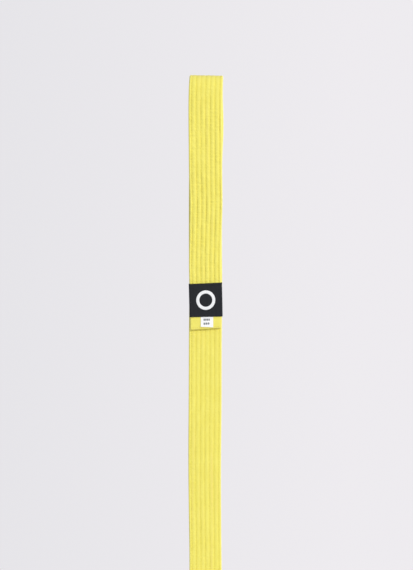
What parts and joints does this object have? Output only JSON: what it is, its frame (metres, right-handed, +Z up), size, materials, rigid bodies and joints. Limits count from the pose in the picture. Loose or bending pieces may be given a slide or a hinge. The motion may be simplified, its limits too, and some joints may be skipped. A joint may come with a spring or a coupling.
{
  "type": "martial arts belt",
  "caption": "Flat stitched cotton belt for a martial arts suit, hung over a round rail with its spare length rolled and tied.",
  "frame": {"origin": "on the axis of the round rail that the belt hangs over, at the middle of the belt's width", "axes": "+X along the rail and across the belt, to the right seen from the label side; -Y towards the label side; +Z up"},
  "size_m": [0.0426, 0.0903, 0.7221],
  "materials": {
    "cotton_cover": "matte bright yellow cotton drill with a faint sheen",
    "core_batting": "unbleached cotton interlining",
    "sewing_thread": "matte yellow spun polyester thread",
    "label_weave": "matte black woven label with a plain white woven ring",
    "label_thread": "black sewing thread",
    "tag_satin": "white satin ribbon",
    "tie_tape": "natural cotton tape"
  },
  "bodies": {
    "saddle": {"cover_saddle": "cotton_cover", "core_inner_saddle": "core_batting", "core_outer_saddle": "core_batting", "cover_front_bend": "cotton_cover", "core_inner_front_bend": "core_batting", "core_outer_front_bend": "core_batting", "cover_back_bend": "cotton_cover", "core_inner_back_bend": "core_batting", "core_outer_back_bend": "core_batting"},
    "front_tail": {"cover_front_tail": "cotton_cover", "core_inner_front_tail": "core_batting", "core_outer_front_tail": "core_batting", "stitch_row_front_1": "sewing_thread", "stitch_row_front_2": "sewing_thread", "stitch_row_front_3": "sewing_thread", "stitch_row_front_4": "sewing_thread", "stitch_row_front_5": "sewing_thread", "stitch_row_front_6": "sewing_thread", "stitch_row_front_7": "sewing_thread", "end_stitch_front": "sewing_thread", "label_sleeve": "label_weave", "label_stitch_top": "label_thread", "label_stitch_bottom": "label_thread", "size_tag_tuck": "tag_satin"},
    "size_tag": {"size_tag": "tag_satin"},
    "back_upper": {"cover_back_upper": "cotton_cover", "core_inner_back_upper": "core_batting", "core_outer_back_upper": "core_batting", "stitch_row_upper_1": "sewing_thread", "stitch_row_upper_2": "sewing_thread", "stitch_row_upper_3": "sewing_thread", "stitch_row_upper_4": "sewing_thread", "stitch_row_upper_5": "sewing_thread", "stitch_row_upper_6": "sewing_thread", "stitch_row_upper_7": "sewing_thread", "cover_back_fold": "cotton_cover", "core_inner_back_fold": "core_batting", "core_outer_back_fold": "core_batting"},
    "back_lower": {"cover_back_lower": "cotton_cover", "core_inner_back_lower": "core_batting", "core_outer_back_lower": "core_batting", "stitch_row_lower_1": "sewing_thread", "stitch_row_lower_2": "sewing_thread", "stitch_row_lower_3": "sewing_thread", "stitch_row_lower_4": "sewing_thread", "stitch_row_lower_5": "sewing_thread", "stitch_row_lower_6": "sewing_thread", "stitch_row_lower_7": "sewing_thread", "cover_roll_bend": "cotton_cover", "core_inner_roll_bend": "core_batting", "core_outer_roll_bend": "core_batting"},
    "roll": {"cover_roll": "cotton_cover", "core_inner_roll": "core_batting", "core_outer_roll": "core_batting", "end_stitch_roll": "sewing_thread", "roll_tie": "tie_tape"}
  },
  "joints": [
    {"name": "front_swing", "type": "hinge", "parent": "saddle", "child": "front_tail", "pos_m": [0, 0, 0], "axis": [-1, 0, 0], "range_deg": [0, 60], "deforming": ["cover_front_bend", "core_inner_front_bend", "core_outer_front_bend"]},
    {"name": "tag_lift", "type": "hinge", "parent": "front_tail", "child": "size_tag", "pos_m": [0, 0.00773, -0.27453], "axis": [-1, 0, 0], "range_deg": [0, 80]},
    {"name": "back_swing", "type": "hinge", "parent": "saddle", "child": "back_upper", "pos_m": [0, 0, 0], "axis": [1, 0, 0], "range_deg": [0, 60], "deforming": ["cover_back_bend", "core_inner_back_bend", "core_outer_back_bend"]},
    {"name": "back_fold", "type": "hinge", "parent": "back_upper", "child": "back_lower", "pos_m": [0, 0.0163, -0.31], "axis": [1, 0, 0], "range_deg": [-90, 90], "deforming": ["cover_back_fold", "core_inner_back_fold", "core_outer_back_fold"]},
    {"name": "roll_swing", "type": "hinge", "parent": "back_lower", "child": "roll", "pos_m": [0, 0.0163, -0.6], "axis": [1, 0, 0], "range_deg": [-45, 45], "deforming": ["cover_roll_bend", "core_inner_roll_bend", "core_outer_roll_bend"]}
  ]
}
